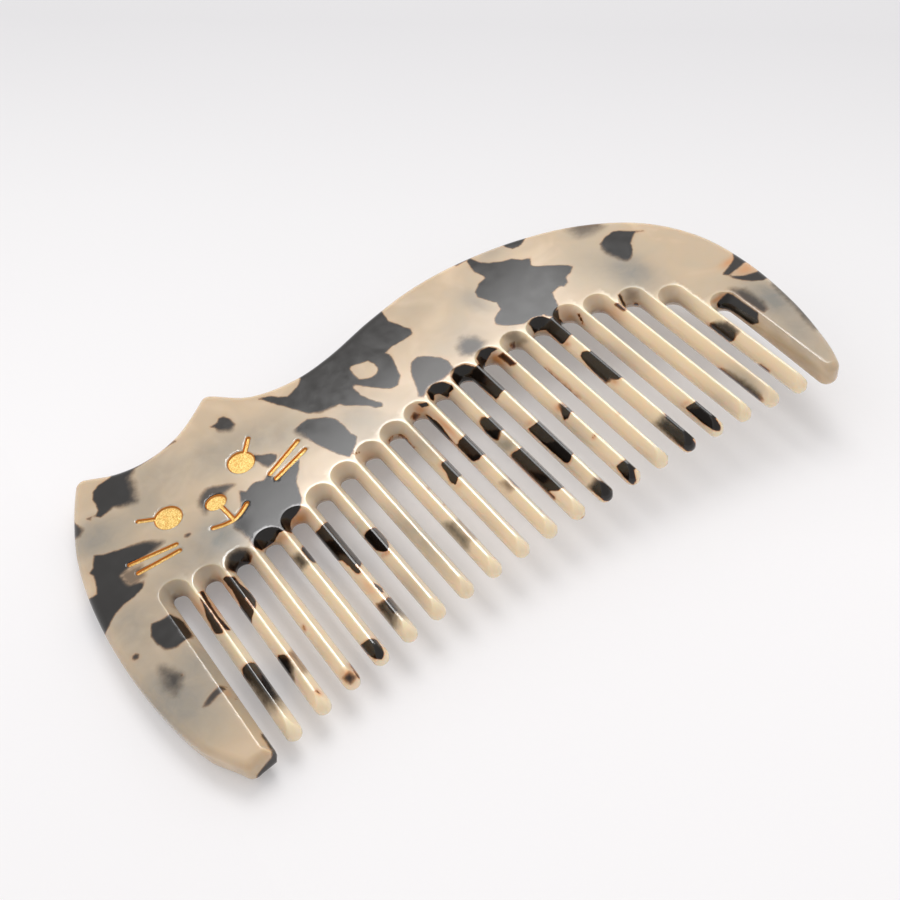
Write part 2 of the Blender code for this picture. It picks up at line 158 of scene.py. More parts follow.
# Dark flakes in the acetate, as outlines on the face. Each point may carry its own
# softness in mm; the number after the outline is the flake's density. CRISP is the
# softness of the other points. EVEN_SOFTNESS is added where a crisp and a soft flake
# compete for a point, and NO_FLAKE is the depth far outside every flake.
CRISP = 0.12
EVEN_SOFTNESS = 0.3
NO_FLAKE = -9.0
FLAKES = [
    # head
    ([(-51.0, 21.2), (-51.7, 21.9), (-50.7, 22.7), (-50.5, 25.3), (-49.9, 26.6), (-48.7, 27.3),
      (-46.6, 27.4), (-45.6, 27.9), (-42.0, 27.2), (-39.4, 27.0), (-39.4, 26.6, 0.3),
      (-42.5, 26.5, 0.5), (-44.0, 25.5, 1.0), (-44.3, 23.7, 1.2), (-45.3, 20.4, 1.2),
      (-46.9, 20.7, 0.9), (-48.7, 21.7, 0.5)], 1.0),
    ([(-53.0, 22.4), (-52.0, 22.2), (-52.5, 21.7)], 0.7),
    ([(-54.9, 23.2), (-54.3, 20.9, 0.6), (-55.3, 20.1, 0.6), (-57.0, 20.2), (-56.0, 23.0)], 0.9),
    ([(-54.95, 15.2), (-53.8, 14.3), (-51.7, 13.6), (-49.7, 13.0, 0.4), (-47.6, 12.2, 0.6),
      (-45.6, 10.4, 0.9), (-48.5, 9.6, 0.6), (-52.0, 9.6, 0.5), (-53.3, 9.0, 0.6),
      (-53.2, 6.8, 0.6), (-51.0, 5.7, 0.3), (-51.7, 4.9), (-53.3, 4.3), (-55.3, 4.1),
      (-56.9, 3.5), (-58.2, 2.5), (-60.2, 0.8), (-62.0, 8.1), (-57.6, 8.4), (-57.1, 9.6),
      (-56.6, 11.7), (-56.9, 12.6), (-56.1, 13.0)], 1.0),
    ([(-53.3, 9.2, 0.6), (-50.0, 8.8, 0.6), (-50.4, 6.6, 0.6), (-53.2, 6.4, 0.6)], 0.5),
    ([(-37.8, 12.8, 0.9), (-37.4, 13.7, 0.8), (-36.4, 14.5, 0.6), (-35.3, 15.0, 0.6),
      (-34.3, 14.5, 0.5), (-32.5, 13.5, 0.6), (-31.7, 12.7, 0.6), (-33.8, 12.4, 0.6),
      (-34.5, 11.5, 0.6), (-36.5, 11.5, 0.6), (-37.8, 10.9, 0.9)], 0.85),
    ([(-26.5, 16.0), (-25.3, 15.0), (-24.05, 14.3), (-23.5, 13.5), (-24.05, 12.6),
      (-25.6, 12.2, 0.5), (-26.1, 13.0, 0.5), (-26.7, 15.0)], 0.9),
    ([(-28.9, 25.9, 0.3), (-27.6, 25.9), (-26.9, 26.7), (-26.1, 26.4), (-25.6, 25.3),
      (-25.6, 23.7, 0.4), (-26.6, 23.0, 0.9), (-28.2, 24.2, 0.7), (-28.3, 25.2)], 0.95),
    ([(-31.6, 11.2), (-30.9, 10.2), (-29.7, 10.9), (-28.7, 10.9), (-27.6, 10.4), (-26.6, 10.9),
      (-25.8, 9.2), (-21.0, 10.5), (-22.5, 8.4), (-23.8, 6.8), (-24.3, 5.3), (-24.8, 3.5),
      (-25.9, 2.0), (-27.0, 1.3), (-28.0, 1.0), (-28.8, 0.2), (-29.3, -1.3), (-30.0, 0.0),
      (-30.8, 0.1), (-32.3, -0.9), (-34.4, -1.0), (-35.1, 0.5, 0.3), (-34.8, 2.2, 0.5),
      (-35.1, 4.0, 0.6), (-35.6, 5.5, 0.5), (-35.1, 6.3, 0.5), (-33.8, 6.8, 0.4),
      (-32.5, 8.9, 0.4), (-32.0, 10.1)], 1.0),
    ([(-53.5, -1.7), (-51.9, -2.0), (-50.5, -2.0), (-49.95, -3.2), (-49.6, -4.3), (-49.6, -6.7),
      (-49.75, -7.6, 0.5), (-50.5, -7.2), (-52.4, -7.5, 0.4), (-53.7, -6.7, 0.4),
      (-54.3, -5.2, 0.3), (-54.3, -3.5, 0.3)], 1.0),
    ([(-55.6, -9.2, 1.4), (-54.6, -10.5, 1.2), (-53.7, -12.0, 0.8), (-55.0, -13.6, 1.2),
      (-55.8, -14.0, 1.4), (-56.4, -12.2, 1.4)], 0.75),
    ([(-53.7, -18.4, 0.4), (-52.6, -17.6, 0.3), (-51.3, -17.2), (-50.4, -17.0), (-49.65, -17.95),
      (-50.4, -18.0), (-51.7, -18.2, 0.3), (-52.8, -18.6, 0.4)], 0.8),
    ([(-52.7, -31.9), (-51.3, -31.3), (-49.9, -30.9), (-49.45, -30.2), (-49.4, -27.0),
      (-49.0, -27.0), (-48.9, -31.5), (-50.0, -34.0), (-53.5, -34.0)], 0.95),
    # back
    ([(-19.9, 26.0), (-18.15, 25.15), (-17.1, 24.0), (-15.85, 23.0), (-14.6, 23.4),
      (-13.3, 23.9), (-12.1, 25.0), (-11.7, 27.2), (-4.0, 28.4), (7.0, 31.2), (6.5, 27.8),
      (6.2, 26.3), (7.0, 24.5), (7.5, 23.0), (8.0, 22.1), (7.6, 20.9), (5.7, 20.7),
      (3.4, 20.8), (1.6, 20.3), (2.1, 19.4), (2.0, 18.6), (1.3, 16.3), (0.8, 14.4),
      (-0.7, 12.85), (-2.0, 13.0), (-3.0, 14.0), (-4.3, 15.5), (-5.6, 17.3), (-6.2, 17.8),
      (-6.6, 17.3), (-6.5, 15.0), (-5.6, 12.7), (-4.8, 11.4), (-5.1, 10.7), (-6.1, 11.2),
      (-6.9, 12.5), (-8.15, 13.7), (-9.7, 15.0), (-10.1, 15.8), (-11.0, 16.0, 0.5),
      (-13.3, 16.4, 0.5), (-15.1, 17.6, 0.3), (-16.1, 19.4), (-17.1, 21.2), (-18.15, 23.0),
      (-19.4, 25.3)], 1.0),
    ([(-18.7, 15.8, 0.8), (-17.9, 16.3), (-15.85, 16.6), (-14.8, 15.8), (-13.5, 15.0),
      (-12.4, 13.7), (-12.1, 11.95), (-12.1, 9.4), (-11.7, 8.1), (-12.5, 7.1), (-13.8, 6.05),
      (-14.8, 5.4), (-15.7, 6.8), (-16.6, 8.9), (-17.5, 11.4), (-18.15, 14.0, 0.8)], 1.0),
    ([(0.6, 8.6, 0.4), (1.6, 10.9), (2.1, 12.7), (2.9, 14.3), (3.9, 15.5), (5.2, 15.9),
      (6.5, 15.0), (8.0, 13.2), (8.6, 11.7), (8.2, 9.6, 0.4), (5.5, 9.0, 0.4), (3.0, 9.3, 0.4),
      (1.0, 8.0, 0.4)], 0.95),
    ([(11.1, 11.2, 1.0), (11.6, 13.0, 1.2), (13.4, 14.3, 1.2), (14.9, 13.0, 1.2),
      (15.6, 11.2, 1.0), (14.2, 10.2, 0.8), (12.2, 10.2, 0.8)], 0.8),
    ([(24.9, 28.9), (25.6, 29.8), (26.2, 27.5), (27.3, 26.1), (29.3, 24.7), (31.0, 24.1),
      (32.1, 22.7), (33.5, 22.0), (32.4, 20.5), (33.0, 19.6), (34.1, 18.8), (36.1, 17.1),
      (37.2, 16.0), (37.5, 15.3), (36.3, 14.4), (34.9, 14.0), (34.6, 12.9), (33.5, 12.4),
      (33.0, 13.1), (31.0, 12.6), (30.4, 11.2), (29.8, 9.5), (27.6, 8.1), (26.7, 9.5),
      (24.8, 10.3), (23.1, 10.0), (20.8, 11.4), (19.4, 13.1), (20.0, 14.3), (22.2, 15.4),
      (22.65, 17.1), (21.9, 18.5), (21.0, 20.5), (21.4, 21.6), (23.1, 23.0), (24.8, 23.3),
      (24.8, 24.4), (24.3, 25.8), (24.6, 27.5)], 1.0),
    ([(32.1, 28.6), (36.3, 26.9), (34.9, 26.1), (33.8, 25.8), (32.7, 26.1), (32.1, 27.2)], 1.0),
    # haunch and tail
    ([(43.1, 23.3, 1.5), (45.1, 23.2, 0.6), (48.2, 20.8, 0.6), (47.9, 19.6, 1.5),
      (45.6, 19.6, 1.5), (43.4, 20.5, 1.5)], 0.5),
    ([(44.7, 16.4, 0.4), (46.2, 17.1), (48.2, 17.5), (49.3, 16.8), (50.2, 15.7), (51.3, 14.8),
      (49.9, 14.0), (48.7, 13.1), (47.9, 11.7), (46.5, 10.3, 0.4), (45.4, 10.0, 0.6),
      (44.7, 11.2, 0.8), (44.2, 13.1, 0.8), (44.1, 14.8, 0.8)], 1.0),
    ([(54.7, -3.4), (56.3, -2.9), (58.5, -2.05), (59.4, -0.9), (61.0, -0.5), (61.0, -3.6),
      (57.4, -4.0), (55.2, -4.2)], 0.95),
    ([(55.0, -4.3), (56.1, -5.3), (57.0, -6.0), (58.5, -6.6), (61.0, -7.2), (61.0, -9.0),
      (58.5, -8.9), (57.2, -7.9), (56.1, -6.6), (55.5, -5.5)], 0.95),
    ([(48.7, -8.4), (49.5, -7.8), (50.9, -7.4), (52.2, -7.2), (52.5, -8.2), (52.6, -14.0),
      (51.9, -14.5), (51.1, -15.5), (50.0, -15.1), (49.9, -11.0), (49.5, -9.7),
      (48.8, -8.9)], 1.0),
    ([(53.2, -6.8, 0.9), (54.9, -8.5, 0.9), (55.0, -12.5, 0.9), (54.3, -14.2, 0.5),
      (53.3, -14.4, 0.3), (53.1, -10.0, 0.3)], 0.75),
    ([(61.0, -9.0, 0.8), (61.0, -14.0, 0.8), (58.6, -21.5, 0.8), (56.8, -22.5, 1.0),
      (57.2, -19.5, 0.9), (58.2, -15.5, 0.9), (58.9, -11.0, 0.9)], 0.85),
    # ends of the slots
    ([(-49.4, -0.7, 0.8), (-48.7, 0.3, 0.8), (-48.0, -0.7, 0.8), (-48.7, -1.7, 0.8)], 0.6),
    ([(-43.7, -1.3, 0.8), (-43.0, -0.6, 0.8), (-42.3, -1.3, 0.8), (-43.0, -2.0, 0.8)], 0.5),
    ([(-40.2, -0.5, 0.6), (-39.6, 0.6, 0.8), (-38.6, 1.5, 0.8), (-37.2, 1.5, 0.8),
      (-36.3, 0.6, 0.8), (-36.2, -0.5, 0.6), (-36.9, -1.8), (-39.4, -1.9)], 0.95),
    ([(-8.5, 3.4), (-8.3, 4.1), (-7.3, 4.4), (-6.2, 4.0), (-5.95, 3.5), (-6.0, 0.0), (-6.2, 0.0),
      (-6.3, 3.3), (-7.3, 3.9), (-8.2, 3.7)], 0.9),
    ([(-0.5, 7.3), (0.8, 6.5), (0.6, 5.8), (-0.4, 6.2)], 0.95),
    ([(-3.0, 5.6, 0.3), (-2.0, 6.1, 0.3), (-1.5, 5.2, 0.3), (-2.8, 4.6, 0.3)], 0.5),
    ([(-0.8, 5.0), (-0.4, 2.7), (-0.3, 1.2), (-0.5, -0.4), (-0.9, -4.0), (-1.1, -0.4),
      (-1.1, 2.5)], 0.9),
    ([(1.6, 6.6), (2.1, 8.4), (3.6, 9.2), (5.2, 8.5), (5.95, 6.8), (5.7, 6.05), (4.7, 5.8),
      (3.9, 5.0), (3.4, 6.8), (2.6, 7.1), (1.8, 6.05)], 1.0),
    ([(6.7, 6.6), (7.0, 8.4), (8.5, 9.6), (10.05, 9.3), (11.1, 7.6), (11.4, 0.4), (10.3, 0.0),
      (9.5, -0.45), (9.3, 3.2), (8.9, 5.5), (7.5, 6.3), (6.8, 5.0)], 1.0),
    ([(12.0, 7.3), (12.4, 8.9), (13.9, 10.0), (15.4, 9.7), (16.2, 8.4), (14.9, 8.4),
      (13.6, 7.6), (12.4, 6.8)], 1.0),
    ([(15.4, 7.0, 0.3), (16.4, 7.0, 0.3), (16.5, 3.7, 0.3), (15.6, 3.9, 0.3)], 0.7),
    ([(23.4, 8.6), (23.6, 9.5), (24.8, 10.0), (26.2, 9.6), (26.7, 8.1), (26.8, 2.7),
      (25.5, 2.15), (24.7, 2.0), (24.8, 6.4), (23.6, 7.2), (22.9, 6.9)], 1.0),
    ([(27.4, 8.1), (27.9, 8.6), (29.4, 8.9), (28.7, 8.1), (28.0, 6.9), (27.7, 2.7),
      (27.4, 2.7)], 0.9),
    ([(38.6, 2.6, 0.8), (40.6, 4.6, 0.8), (41.6, 3.0, 0.8), (40.6, 1.9, 0.8)], 0.3),
    # teeth, from the head to the tail
    ([(-45.7, -2.0), (-46.0, -4.0), (-46.5, -6.0), (-46.75, -8.0), (-46.85, -9.1),
      (-46.2, -9.7), (-45.75, -9.7)], 0.85),
    ([(-45.3, -1.4), (-44.75, -1.4), (-44.95, -3.0), (-45.1, -5.0), (-45.15, -7.0),
      (-44.95, -9.0), (-44.85, -10.1), (-45.4, -9.5), (-45.45, -5.0)], 0.85),
    ([(-46.95, -17.8), (-46.6, -16.7), (-45.7, -16.4), (-44.9, -16.7), (-44.6, -17.8),
      (-44.4, -20.0), (-44.35, -24.0, 1.5), (-45.5, -24.5, 2.5), (-46.95, -23.5, 2.5)], 1.0),
    ([(-41.5, -1.6), (-40.7, -1.6), (-40.6, -9.5), (-41.5, -10.4), (-41.95, -11.1),
      (-42.0, -8.5), (-41.6, -6.7), (-41.35, -4.1)], 1.0),
    ([(-40.3, -2.1), (-39.95, -4.3), (-39.45, -6.7), (-39.6, -8.2), (-40.3, -9.4)], 1.0),
    ([(-41.5, -18.05), (-40.7, -18.7), (-40.7, -19.8, 0.6), (-41.0, -21.1, 0.8),
      (-41.7, -22.2, 0.8), (-41.95, -23.0, 0.5), (-41.95, -18.9)], 1.0),
    ([(-40.2, -18.7, 0.6), (-39.4, -18.7, 0.6), (-39.4, -22.8, 0.8), (-40.2, -22.8, 0.8)], 0.45),
    ([(-36.2, -27.0, 0.5), (-35.2, -26.8, 0.5), (-34.9, -27.9, 0.5), (-35.9, -28.3, 0.5)], 0.8),
    ([(-31.65, -5.2, 0.9), (-30.2, -5.2, 0.9), (-30.2, -7.4, 0.9), (-31.65, -7.8, 0.9)], 0.8),
    ([(-29.8, -4.8), (-29.2, -4.3), (-29.15, -6.7), (-29.3, -8.3), (-29.7, -7.6)], 1.0),
    ([(-31.6, -24.25), (-30.1, -24.1), (-29.5, -24.7), (-29.5, -26.1), (-29.8, -27.4),
      (-30.5, -27.9), (-31.2, -27.3), (-31.6, -26.1)], 1.0),
    ([(-26.65, -3.6), (-25.1, -3.3), (-25.0, -9.5), (-25.9, -9.8), (-26.2, -10.4),
      (-26.6, -10.0)], 1.0),
    ([(-26.1, -9.5), (-25.0, -9.5), (-25.0, -12.0), (-25.9, -12.0)], 0.75),
    ([(-25.2, -11.3), (-25.0, -14.0), (-25.6, -13.9), (-25.8, -12.5)], 1.0),
    ([(-24.75, -3.0), (-24.0, -3.0), (-24.0, -12.5), (-24.7, -13.2)], 1.0),
    ([(-24.7, -16.6), (-24.2, -17.8), (-24.4, -19.0), (-24.7, -18.7)], 1.0),
    ([(-26.4, -21.0, 0.5), (-26.1, -20.2, 0.5), (-25.0, -20.3, 0.5), (-25.0, -23.0, 1.5),
      (-26.4, -24.5, 1.5)], 1.0),
    ([(-24.7, -20.1), (-24.1, -20.2), (-24.1, -24.0, 1.5), (-24.7, -23.5, 1.5)], 1.0),
    ([(-21.35, -9.0), (-20.6, -8.5), (-19.85, -8.4), (-19.2, -8.6), (-19.0, -9.5),
      (-18.95, -11.3), (-19.4, -12.9), (-20.05, -13.3), (-20.6, -13.1), (-21.25, -12.2)], 1.0),
    ([(-10.9, -15.0, 1.0), (-9.8, -15.6, 1.0), (-9.8, -19.5, 1.2), (-10.9, -20.5, 1.2)], 0.7),
    ([(-4.8, -5.3), (-4.2, -5.15), (-4.25, -9.1), (-5.3, -10.05), (-5.65, -9.1),
      (-5.1, -7.3)], 1.0),
    ([(-3.95, -5.4), (-3.5, -5.4), (-3.4, -9.1), (-3.95, -9.2)], 1.0),
    ([(-0.75, -4.2), (0.1, -3.4), (1.0, -3.2), (1.0, -8.0), (0.2, -8.4), (-0.75, -8.1)], 1.0),
    ([(1.65, -13.8), (1.8, -15.6), (1.7, -17.1), (1.4, -16.0)], 1.0),
    ([(4.7, -2.5, 0.3), (5.6, -2.0, 0.3), (6.0, -2.2), (6.1, -6.0, 0.3), (5.3, -6.7, 0.4),
      (4.6, -7.4, 0.3), (4.3, -6.5), (4.2, -4.9), (4.5, -3.4)], 1.0),
    ([(4.57, -11.0), (5.2, -10.8), (6.1, -11.0), (6.2, -20.9), (5.7, -21.0), (4.6, -20.1)], 1.0),
    ([(9.5, -8.65), (11.4, -8.5), (11.5, -16.9), (10.7, -17.7), (10.05, -17.9), (9.7, -17.4),
      (9.5, -12.0)], 1.0),
    ([(9.6, -23.5, 0.8), (11.4, -23.0, 0.8), (12.1, -25.2), (11.5, -27.0), (10.4, -27.6),
      (9.6, -27.0), (9.5, -25.0)], 1.0),
    ([(16.4, -7.8, 0.5), (15.3, -9.95), (14.86, -11.0), (15.5, -11.0), (16.6, -10.3),
      (16.7, -8.2, 0.5)], 0.9),
    ([(15.1, -23.1), (16.65, -23.0), (16.65, -25.2), (15.95, -26.3), (15.2, -27.5),
      (14.6, -27.4), (14.6, -25.4)], 1.0),
    ([(25.3, -2.1), (26.0, -1.55), (26.7, -1.8), (27.0, -2.5), (27.0, -9.95), (26.6, -9.95),
      (25.65, -9.1, 0.6), (24.7, -9.3, 0.4), (24.7, -5.8), (25.0, -3.6)], 1.0),
    ([(24.7, -20.8, 1.2), (26.9, -20.5, 1.2), (27.0, -26.5), (26.5, -28.0), (25.65, -28.5),
      (24.8, -27.8)], 1.0),
    ([(30.3, -21.3), (32.2, -21.4), (32.2, -26.3), (31.7, -27.6), (31.0, -28.15),
      (30.45, -27.2), (30.3, -25.0)], 1.0),
    ([(39.8, -18.2), (40.2, -19.9, 0.9), (40.6, -23.0, 0.9), (40.75, -26.2, 0.9),
      (40.2, -27.1, 0.6), (39.9, -28.6), (39.6, -27.3), (39.6, -19.0)], 0.85),
    ([(44.9, -9.9), (45.4, -10.55, 0.3), (46.5, -11.2, 1.0), (47.5, -12.1, 0.8),
      (47.4, -14.7, 0.8), (46.5, -15.1, 0.4), (45.4, -15.8), (44.8, -15.6)], 0.95),
]

# Straight-sided flakes, most of them cut off by the sides of a tooth:
# (left, right, top, bottom, softness, density)
BLOCKS = (
    (22.8, 25.8, 30.0, 29.3, CRISP, 0.6), (18.8, 21.0, 10.0, 6.4, 0.9, 0.4),
    (18.2, 19.3, 7.5, 6.6, 0.3, 0.8), (33.5, 34.2, 3.5, -3.7, 0.6, 0.45),
    (36.9, 37.5, 3.3, 1.1, 0.3, 0.7), (-11.0, -10.7, -15.2, -20.4, CRISP, 0.9),
    (-9.0, -8.6, -15.6, -20.0, 0.8, 0.5), (1.3, 1.8, -3.1, -8.2, CRISP, 1.0),
    (0.1, 1.0, -14.3, -16.3, 0.8, 0.5), (6.6, 6.95, -3.2, -6.2, CRISP, 0.8),
    (4.2, 4.57, -11.0, -22.0, CRISP, 0.6), (6.5, 6.9, -11.0, -21.1, CRISP, 1.0),
    (11.8, 12.3, 7.0, 0.3, CRISP, 0.8), (11.8, 12.2, -8.3, -16.9, CRISP, 1.0),
    (17.0, 17.25, -9.1, -10.3, CRISP, 0.9), (17.0, 17.25, -23.0, -25.3, CRISP, 1.0),
    (19.3, 19.6, -0.1, -9.1, CRISP, 0.75), (27.4, 27.8, 8.0, 2.7, CRISP, 0.9),
    (27.3, 27.7, -2.3, -10.2, CRISP, 1.0), (27.3, 27.6, -20.0, -26.7, CRISP, 1.0),
    (32.5, 32.8, -21.4, -25.9, CRISP, 0.8), (44.7, 45.05, -22.1, -24.3, 0.25, 0.85),
)

# Parts of thin teeth whose dark flake runs over the ridge: (tooth, top, bottom)
RIDGE_FLAKES = ((2, -2.2, -6.5), (5, -3.1, -12.3), (5, -20.4, -23.0), (9, -5.3, -9.1),
                (10, -3.3, -8.1), (11, -2.7, -6.1), (11, -10.9, -20.9), (12, 7.6, 0.4),
                (12, -8.5, -16.9), (13, -9.1, -10.2), (13, -23.1, -25.3), (15, 8.0, 2.7),
                (15, -2.3, -9.9), (15, -20.6, -26.6), (16, -21.4, -25.9))
RIDGE_FLAKE_WIDTH = 1.0

# Clear window within the large flake of the back
WINDOWS = [
    [(-4.3, 21.7), (-2.8, 21.2), (-1.4, 20.8), (-1.0, 19.6), (-1.1, 18.1), (-2.0, 17.2),
     (-3.2, 17.2), (-4.8, 18.1), (-4.95, 19.4), (-4.8, 21.2)],
]

# Thin streaks: (start, end, half width, density)
STREAKS = (
    ((-39.4, 27.1), (-34.8, 27.2), 0.15, 0.6), ((-40.3, -26.1), (-40.0, -27.0), 0.12, 0.6),
    ((-36.6, -17.0), (-36.2, -16.3), 0.12, 0.45), ((-34.3, -25.7), (-34.6, -28.5), 0.1, 0.7),
    ((-13.9, 5.5), (-13.0, 5.0), 0.1, 0.7), ((-3.4, -1.0), (-3.4, -5.0), 0.08, 0.4),
    ((15.95, -16.6), (17.0, -16.2), 0.1, 0.4), ((30.1, 3.0), (31.1, 5.8), 0.15, 0.8),
    ((37.75, 1.6), (39.0, 4.7), 0.18, 0.85), ((51.3, 14.5), (52.4, 13.8), 0.12, 0.5),
)

# Small specks: (x, y, radius)
SPECKS = ((-42.1, 9.0, 0.35), (-41.7, 9.0, 0.3), (-57.7, -5.1, 0.5), (-49.35, -20.2, 0.22),
          (-53.9, -12.05, 0.28), (-8.8, -7.9, 0.2), (-8.8, -12.0, 0.2), (5.3, -27.3, 0.22),
          (22.2, -15.4, 0.23), (39.6, 0.9, 0.45), (14.0, 6.3, 0.25))

# Milky grey clouds: (x, y, half width, half height, strength)
CLOUDS = (
    (-54.0, 18.0, 4.5, 5.0, 0.8), (-56.0, 0.0, 4.5, 7.0, 0.6), (-57.0, -14.0, 4.5, 7.0, 0.8),
    (-38.0, 5.0, 4.5, 4.5, 1.0), (-45.0, 18.0, 5.5, 5.0, 0.4), (-40.0, 23.0, 5.5, 4.5, 0.4),
    (-31.0, 19.5, 6.0, 5.0, 0.55), (-44.0, 5.0, 4.5, 4.5, 0.5), (-23.5, 18.0, 4.0, 4.0, 0.45),
    (-20.0, 17.0, 3.0, 4.0, 0.3), (-10.0, 10.5, 5.0, 5.0, 0.45), (12.0, 26.0, 4.0, 4.0, 0.2),
    (20.0, 20.0, 2.0, 4.0, 0.6), (14.0, 15.5, 4.5, 4.0, 0.25), (30.0, 28.0, 4.5, 2.5, 0.4),
    (44.0, 7.5, 3.5, 5.5, 0.9), (40.0, 14.0, 4.0, 5.0, 0.2), (44.5, 21.5, 3.0, 2.5, 0.4),
    (56.5, -13.0, 3.5, 6.0, 0.95), (54.5, -21.0, 4.0, 6.0, 0.6), (-50.5, -12.0, 3.0, 5.0, 0.6),
    (-15.0, -15.0, 1.5, 8.0, 0.5), (-4.5, 0.0, 1.8, 5.0, 0.5), (5.2, -9.0, 1.5, 1.8, 0.7),
    (41.5, -23.0, 1.5, 4.5, 0.5), (-20.6, -20.0, 1.6, 3.5, 0.25), (52.0, -27.0, 3.0, 3.0, 0.3),
    (-54.0, -18.0, 4.0, 6.0, 0.45), (-49.5, 2.0, 3.0, 4.0, 0.4),
)

# Amber glows: (x, y, half width, half height, strength)
GLOWS = (
    (-27.3, 0.3, 1.6, 1.6, 0.9), (-31.0, -1.0, 1.2, 1.0, 0.6), (-46.7, -4.0, 0.5, 2.5, 0.6),
    (-44.8, -5.0, 0.35, 3.5, 0.8), (-41.9, -3.5, 0.4, 3.0, 0.8), (-0.9, 6.0, 0.8, 1.0, 0.9),
    (0.2, 0.5, 0.5, 3.5, 0.7), (14.8, 6.3, 0.9, 2.0, 1.0), (25.3, 1.5, 0.6, 0.6, 0.8),
    (25.8, -9.8, 0.6, 0.8, 0.7), (50.3, -7.2, 1.6, 0.5, 0.9), (57.5, -2.0, 2.0, 0.8, 0.75),
    (58.3, -5.0, 2.0, 1.2, 0.7), (10.4, -7.9, 0.9, 0.6, 0.5), (31.0, -20.7, 0.9, 0.5, 0.5),
    (-20.3, -13.6, 0.8, 0.4, 0.8), (15.9, -8.6, 0.7, 0.9, 0.9), (-47.8, -1.0, 0.6, 0.8, 0.5),
    (-12.5, 3.5, 1.2, 1.5, 0.35), (35.5, 2.0, 1.2, 3.0, 0.35), (-50.0, -18.7, 0.4, 0.8, 0.5),
    (29.5, 6.5, 1.2, 2.0, 0.5), (-35.5, -27.2, 0.9, 1.2, 0.8), (-5.0, -10.4, 0.7, 0.5, 0.4),
    (-25.6, -17.0, 0.6, 2.0, 0.4),
)


# ---------------------------------------------------------------- shape

def direction(degrees):
    """Unit vector at an angle from +X."""
    return Vector((math.cos(math.radians(degrees)), math.sin(math.radians(degrees))))


def tooth_x(number):
    """Middle line of a thin tooth; the end teeth are numbers 0 and SLOTS."""
    return MIDDLE_TOOTH_X + (number - SLOTS / 2) * PITCH


def tip_y(number):
    """Lowest point of a thin tooth."""
    return TIP_ARC_Y - (tooth_x(number) - TIP_ARC_X) ** 2 / (2 * TIP_ARC_RADIUS)


class Rim:
    """Closed loop at half the thickness, with each point's inward flank and edge moves."""

    def __init__(self):
        self.points = []
        self.flanks = []
        self.edges = []

    def add(self, point, flank=(0.0, 0.0), edge=(0.0, 0.0)):
        self.points.append(tuple(point))
        self.flanks.append(tuple(flank))
        self.edges.append(tuple(edge))


def add_corner(rim, corner, slot_side=False):
    """Convex corner; both lines that meet in it move inwards by EDGE_RADIUS."""
    centre, radius, first, last = corner
    face_radius = max(radius - EDGE_RADIUS, LEAST_RADIUS)
    half_turn = math.radians(first - last) / 2
    middle = direction((first + last) / 2)
    shift = -middle * (EDGE_RADIUS - radius + face_radius) / math.cos(half_turn)
    for step in range(CORNER_STEPS + 1):
        share = step / CORNER_STEPS
        normal = direction(first + (last - first) * share)
        move = shift + normal * (face_radius - radius)
        flank = move * (1 - share) if slot_side else move * 0
        rim.add(Vector(centre) + normal * radius, flank, move - flank)


def corner_end(corner, last):
    """Point and clockwise heading where a corner begins or ends."""
    centre, radius, first_angle, last_angle = corner
    angle = last_angle if last else first_angle
    return Vector(centre) + direction(angle) * radius, direction(angle - 90)


def smooth_line(points, headings, steps):
    """Points along the smooth curve that passes the given points with given headings."""
    curve = []
    for index in range(len(points) - 1):
        reach = (points[index + 1] - points[index]).length / 3
        handle_out = points[index] + headings[index] * reach
        handle_in = points[index + 1] - headings[index + 1] * reach
        piece = interpolate_bezier(points[index], handle_out, handle_in, points[index + 1],
                                   steps + 1)
        curve.extend(point.to_2d() for point in piece[:-1])
    curve.append(points[-1])
    return curve


def chord_headings(points, first, last):
    """Heading at each point: first and last as given, and along the chord between."""
    between = [(later - earlier).normalized() for earlier, later in zip(points, points[2:])]
    return [first] + between + [last]


def add_stretch(rim, before, knots, after):
    """Smooth curve from the end of one corner through the knots to the next corner."""
    start, start_heading = corner_end(before, last=True)
    end, end_heading = corner_end(after, last=False)
    points = [start] + [Vector(knot) for knot in knots] + [end]
    curve = smooth_line(points, chord_headings(points, start_heading, end_heading), CURVE_STEPS)
    for index in range(1, len(curve) - 1):
        heading = (curve[index + 1] - curve[index - 1]).normalized()
        rim.add(curve[index], edge=(heading.y * EDGE_RADIUS, -heading.x * EDGE_RADIUS))


def add_slot_end(rim, number):
    """Round end of a slot, from its tail side over the top to its head side."""
    middle_x = tooth_x(number) - PITCH / 2
    half_gap = (PITCH - TOOTH_WIDTH) / 2
    flank_width = (TOOTH_WIDTH - RIDGE_WIDTH) / 2
    tail_gap = END_TOOTH_GAP if number == SLOTS else half_gap
    head_gap = END_TOOTH_GAP if number == 1 else half_gap
    centre_y = SLOT_ENDS[number - 1] - SLOT_END_STRETCH * flank_width - half_gap
    for step in range(SLOT_END_STEPS + 1):
        side, up = direction(180 * step / SLOT_END_STEPS)
        gap = tail_gap if side > 0 else head_gap
        reach = half_gap + flank_width - gap
        point = (middle_x + gap * side, centre_y + half_gap * up)
        rim.add(point, flank=(reach * side, flank_width * (up + SLOT_END_STRETCH - 1)))


def add_tooth_tip(rim, number):
    """Rounded tip of a thin tooth, from its tail side to its head side."""
    half_width = TOOTH_WIDTH / 2
    inwards = RIDGE_WIDTH / 2 - half_width
    for step in range(TIP_STEPS + 1):
        side, up = direction(-180 * step / TIP_STEPS)
        point = (tooth_x(number) + half_width * side, tip_y(number) + half_width * (1 + up))
        rim.add(point, flank=(inwards * side, inwards * up), edge=(0, TIP_ROUNDING))


